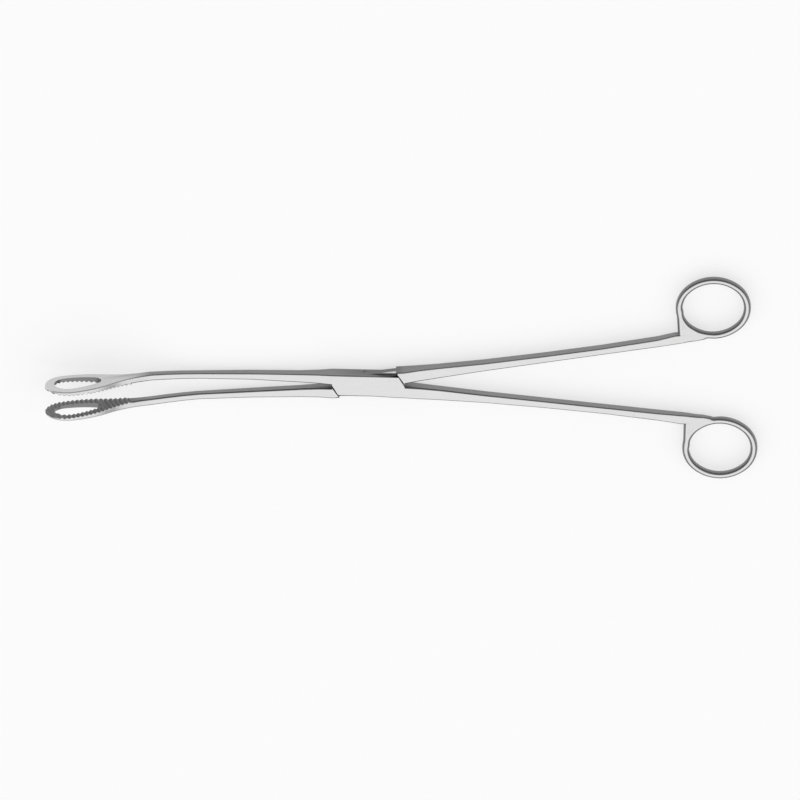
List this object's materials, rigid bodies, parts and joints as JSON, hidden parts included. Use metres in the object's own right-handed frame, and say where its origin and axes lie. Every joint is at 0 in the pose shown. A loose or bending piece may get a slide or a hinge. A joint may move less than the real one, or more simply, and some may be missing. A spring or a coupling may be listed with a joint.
{
  "type": "uterine polyp forceps",
  "caption": "Long curved box-lock forceps with fenestrated serrated jaws and two finger rings, for gripping and removing tissue.",
  "frame": {"origin": "on the pivot axis, at the rear face of the lock box", "axes": "+X along the instrument toward the finger rings, +Y across the opening toward the tongue half's finger ring, +Z along the pivot axis toward the side that the jaws curve to"},
  "size_m": [0.2799, 0.0852, 0.0241],
  "materials": {
    "satin_steel": "satin ground stainless steel",
    "pin_steel": "stainless steel rivet, ground flush"
  },
  "bodies": {
    "box_side": {"box_half": "satin_steel", "pivot_pin": "pin_steel"},
    "tongue_side": {"tongue_half": "satin_steel"}
  },
  "joints": [
    {"name": "box_lock_pivot", "type": "hinge", "parent": "box_side", "child": "tongue_side", "pos_m": [0, 0, 0.0038], "axis": [0, 0, 1], "range_deg": [-4.5, 43]}
  ]
}
